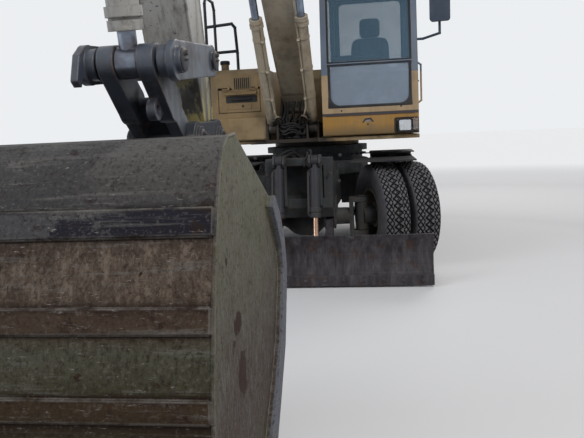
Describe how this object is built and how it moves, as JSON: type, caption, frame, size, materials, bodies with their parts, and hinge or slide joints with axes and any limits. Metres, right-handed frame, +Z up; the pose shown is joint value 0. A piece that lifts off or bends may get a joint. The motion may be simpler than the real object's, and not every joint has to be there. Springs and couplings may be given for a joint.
{
  "type": "wheeled excavator",
  "caption": "Wheeled excavator with twin tyres, front dozer blade, slewing upper body with glazed cab, two-piece boom, stick with bucket linkage and a toothed bucket.",
  "frame": {"origin": "on the ground, under the middle of the whole machine as it stands", "axes": "+Z up, -Y forwards to the bucket and blade, +X to the machine's left, the cab's side"},
  "size_m": [2.861, 8.7372, 4.1257],
  "materials": {
    "yellow_paint": "worn gloss",
    "beige_paint": "faded, dusty",
    "frame_paint": "dirty satin",
    "dark_paint": "satin",
    "worn_steel": "scratched and rusty",
    "cast_steel": "rough",
    "rod_chrome": "polished",
    "tyre": "dusty",
    "rim_paint": "dusty",
    "glass": "clear",
    "fabric": "woven",
    "plastic": "matte",
    "lamp": "clear lens"
  },
  "bodies": {
    "undercarriage": {"chassis": "frame_paint", "front_axle": "frame_paint", "rear_axle": "frame_paint", "drive_shaft": "frame_paint", "step_boxes": "frame_paint", "mudguards": "plastic"},
    "knuckle_left": {"knuckle_left": "frame_paint"},
    "knuckle_right": {"knuckle_right": "frame_paint"},
    "tie_rod": {"tie_rod": "rod_chrome"},
    "wheel_front_left": {"tyres_front_left": "tyre", "rims_front_left": "rim_paint"},
    "wheel_front_right": {"tyres_front_right": "tyre", "rims_front_right": "rim_paint"},
    "wheel_rear_left": {"tyres_rear_left": "tyre", "rims_rear_left": "rim_paint"},
    "wheel_rear_right": {"tyres_rear_right": "tyre", "rims_rear_right": "rim_paint"},
    "blade": {"blade": "worn_steel"},
    "blade_barrels": {"blade_barrels": "frame_paint"},
    "blade_rods": {"blade_rods": "rod_chrome"},
    "upper": {"deck": "beige_paint", "counterweight": "beige_paint", "engine_bay": "beige_paint", "engine": "dark_paint", "right_box": "beige_paint", "cab_frame": "yellow_paint", "cab_roof": "yellow_paint", "cab_glass": "glass", "seat": "fabric", "controls": "plastic", "handrails": "dark_paint", "mirrors": "plastic", "headlamps": "lamp"},
    "cab_door": {"cab_door": "yellow_paint", "door_glass": "glass"},
    "hood": {"hood": "beige_paint"},
    "left_door": {"left_door": "beige_paint"},
    "box_lid": {"box_lid": "beige_paint"},
    "boom": {"boom": "beige_paint"},
    "boom_barrels": {"boom_barrels": "beige_paint"},
    "boom_rods": {"boom_rods": "rod_chrome"},
    "stick": {"stick": "beige_paint"},
    "stick_barrel": {"stick_barrel": "beige_paint"},
    "stick_rod": {"stick_rod": "rod_chrome"},
    "bucket": {"bucket": "worn_steel"},
    "bucket_barrel": {"bucket_barrel": "beige_paint"},
    "bucket_rod": {"bucket_rod": "rod_chrome"},
    "rocker": {"rocker": "cast_steel"},
    "power_link": {"power_link": "cast_steel"}
  },
  "joints": [
    {"name": "slew", "type": "hinge", "parent": "undercarriage", "child": "upper", "pos_m": [-0.083, 2.019, 1.2], "axis": [0, 0, 1], "continuous": true},
    {"name": "steering", "type": "hinge", "parent": "undercarriage", "child": "knuckle_left", "pos_m": [0.497, 0.519, 0.525], "axis": [0, 0, 1], "range_deg": [-50, 10]},
    {"name": "steering_right", "type": "hinge", "parent": "undercarriage", "child": "knuckle_right", "pos_m": [-0.663, 0.519, 0.525], "axis": [0, 0, 1], "range_deg": [-50.2, 10.2]},
    {"name": "track_rod", "type": "slide", "parent": "undercarriage", "child": "tie_rod", "axis": [1, 0, 0], "range_m": [-0.0439, 0.2114]},
    {"name": "wheel_front_left", "type": "hinge", "parent": "knuckle_left", "child": "wheel_front_left", "pos_m": [0.83341, 0.64144, 0.525], "axis": [0.9397, 0.342, 0], "continuous": true},
    {"name": "wheel_rear_left", "type": "hinge", "parent": "undercarriage", "child": "wheel_rear_left", "pos_m": [0.855, 3.119, 0.525], "axis": [1, 0, 0], "continuous": true},
    {"name": "wheel_front_right", "type": "hinge", "parent": "knuckle_right", "child": "wheel_front_right", "pos_m": [-0.99941, 0.39656, 0.525], "axis": [0.9397, 0.342, 0], "continuous": true},
    {"name": "wheel_rear_right", "type": "hinge", "parent": "undercarriage", "child": "wheel_rear_right", "pos_m": [-1.021, 3.119, 0.525], "axis": [1, 0, 0], "continuous": true},
    {"name": "blade", "type": "hinge", "parent": "undercarriage", "child": "blade", "pos_m": [-0.083, 0.259, 0.5], "axis": [-1, 0, 0], "range_deg": [-8, 28]},
    {"name": "blade_cylinder", "type": "hinge", "parent": "undercarriage", "child": "blade_barrels", "pos_m": [-0.083, -0.041, 1.13], "axis": [-1, 0, 0], "range_deg": [-2.81, 9.33]},
    {"name": "blade_stroke", "type": "slide", "parent": "blade_barrels", "child": "blade_rods", "axis": [0, -0.2083, -0.9781], "range_m": [-0.2252, 0.0658]},
    {"name": "boom", "type": "hinge", "parent": "upper", "child": "boom", "pos_m": [-0.253, 1.619, 1.75], "axis": [-1, 0, 0], "range_deg": [-50, 42]},
    {"name": "boom_cylinder", "type": "hinge", "parent": "upper", "child": "boom_barrels", "pos_m": [-0.253, 1.119, 1.45], "axis": [-1, 0, 0], "range_deg": [-53.24, 44.76]},
    {"name": "boom_stroke", "type": "slide", "parent": "boom_barrels", "child": "boom_rods", "axis": [0, -0.5855, 0.8107], "range_m": [-0.4657, 0.3915]},
    {"name": "stick", "type": "hinge", "parent": "boom", "child": "stick", "pos_m": [-0.253, -3.608, 3.618], "axis": [1, 0, 0], "range_deg": [-103, 17]},
    {"name": "stick_cylinder", "type": "hinge", "parent": "boom", "child": "stick_barrel", "pos_m": [-0.253, -0.831, 3.88], "axis": [1, 0, 0], "range_deg": [-5.94, 1.15]},
    {"name": "stick_stroke", "type": "slide", "parent": "stick_barrel", "child": "stick_rod", "axis": [0, -0.9989, 0.0475], "range_m": [-1.0168, 0.1695]},
    {"name": "bucket", "type": "hinge", "parent": "stick", "child": "bucket", "pos_m": [-0.253, -2.881, 1.38], "axis": [1, 0, 0], "range_deg": [-5, 128]},
    {"name": "rocker", "type": "hinge", "parent": "stick", "child": "rocker", "pos_m": [-0.253, -3.07306, 1.73819], "axis": [1, 0, 0], "range_deg": [-3.43, 82.91]},
    {"name": "power_link", "type": "hinge", "parent": "bucket", "child": "power_link", "pos_m": [-0.253, -3.241, 1.38], "axis": [1, 0, 0], "range_deg": [-110.27, 4.5]},
    {"name": "bucket_cylinder", "type": "hinge", "parent": "stick", "child": "bucket_barrel", "pos_m": [-0.253, -3.85867, 3.09497], "axis": [1, 0, 0], "range_deg": [-0.57, 9.76]},
    {"name": "bucket_stroke", "type": "slide", "parent": "bucket_barrel", "child": "bucket_rod", "axis": [0, 0.1735, -0.9848], "range_m": [-0.0286, 0.6836]},
    {"name": "cab_door", "type": "hinge", "parent": "upper", "child": "cab_door", "pos_m": [1.127, 2.169, 2.2], "axis": [0, 0, 1], "range_deg": [0, 140]},
    {"name": "left_door", "type": "hinge", "parent": "upper", "child": "left_door", "pos_m": [1.129, 3.498, 1.7], "axis": [0, 0, 1], "range_deg": [0, 110]},
    {"name": "hood", "type": "hinge", "parent": "upper", "child": "hood", "pos_m": [-0.083, 2.567, 2.092], "axis": [1, 0, 0], "range_deg": [0, 60]},
    {"name": "box_lid", "type": "hinge", "parent": "upper", "child": "box_lid", "pos_m": [-0.863, 1.151, 1.912], "axis": [-1, 0, 0], "range_deg": [0, 100]}
  ],
  "couplings": [
    {"joint": "steering_right", "follows": "steering", "ratio": 1},
    {"joint": "track_rod", "follows": "steering", "m_per_rad": -0.24},
    {"joint": "blade_cylinder", "follows": "blade", "ratio": 0.326},
    {"joint": "blade_stroke", "follows": "blade", "m_per_rad": -0.4567},
    {"joint": "boom_cylinder", "follows": "boom", "ratio": 1.0609},
    {"joint": "boom_stroke", "follows": "boom", "m_per_rad": 0.5314},
    {"joint": "stick_cylinder", "follows": "stick", "ratio": 0.0557},
    {"joint": "stick_stroke", "follows": "stick", "m_per_rad": 0.5645},
    {"joint": "rocker", "follows": "bucket", "ratio": 0.6462},
    {"joint": "power_link", "follows": "bucket", "ratio": -0.8599},
    {"joint": "bucket_cylinder", "follows": "bucket", "ratio": 0.0747},
    {"joint": "bucket_stroke", "follows": "bucket", "m_per_rad": 0.3051}
  ]
}
